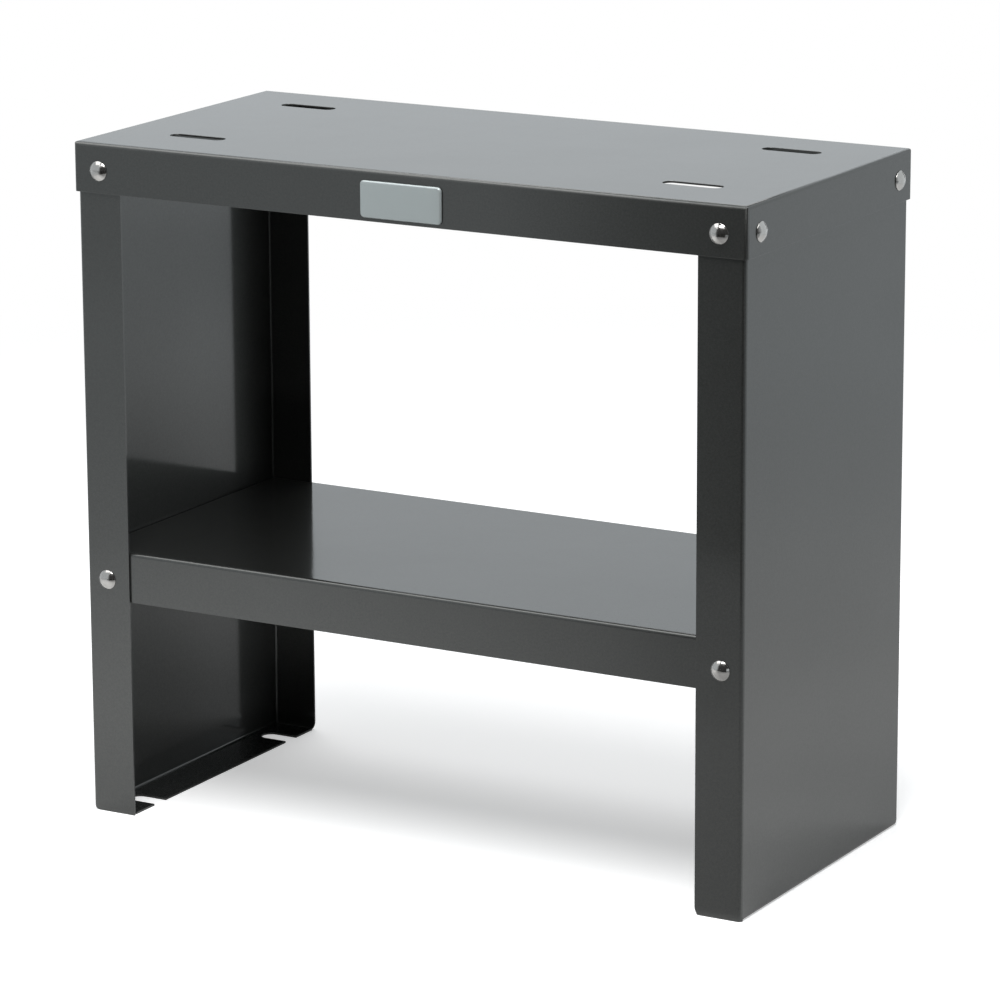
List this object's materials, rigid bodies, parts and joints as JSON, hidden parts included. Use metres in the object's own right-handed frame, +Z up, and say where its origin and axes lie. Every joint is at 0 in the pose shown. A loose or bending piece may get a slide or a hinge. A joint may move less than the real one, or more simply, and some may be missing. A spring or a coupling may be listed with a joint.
{
  "type": "slip roll stand",
  "caption": "Bolted sheet steel stand with a slotted machine top, folded end panels with notched feet and a storage shelf between them.",
  "frame": {"origin": "on the floor, under the middle of the stand", "axes": "+X along the stand towards the right end panel, +Y from the front to the back, +Z up"},
  "size_m": [0.7596, 0.3666, 0.6945],
  "materials": {
    "panel_paint": "satin charcoal metallic paint",
    "bolt_plating": "bright nickel plating, a little hazed",
    "zinc_plating": "zinc plating",
    "plate_silver": "satin silver",
    "pad_foam": "matt foam tape"
  },
  "bodies": {
    "root": {"top_panel": "panel_paint", "left_end_panel": "panel_paint", "right_end_panel": "panel_paint", "shelf": "panel_paint", "nameplate": "plate_silver", "nameplate_pad": "pad_foam", "front_top_bolts": "bolt_plating", "front_top_washers": "zinc_plating", "front_top_lock_washers": "zinc_plating", "front_top_nuts": "zinc_plating", "rear_top_bolts": "bolt_plating", "rear_top_washers": "zinc_plating", "rear_top_lock_washers": "zinc_plating", "rear_top_nuts": "zinc_plating", "left_top_bolts": "bolt_plating", "left_top_washers": "zinc_plating", "left_top_lock_washers": "zinc_plating", "left_top_nuts": "zinc_plating", "right_top_bolts": "bolt_plating", "right_top_washers": "zinc_plating", "right_top_lock_washers": "zinc_plating", "right_top_nuts": "zinc_plating", "front_shelf_bolts": "bolt_plating", "front_shelf_washers": "zinc_plating", "front_shelf_lock_washers": "zinc_plating", "front_shelf_nuts": "zinc_plating", "rear_shelf_bolts": "bolt_plating", "rear_shelf_washers": "zinc_plating", "rear_shelf_lock_washers": "zinc_plating", "rear_shelf_nuts": "zinc_plating"}
  },
  "joints": []
}
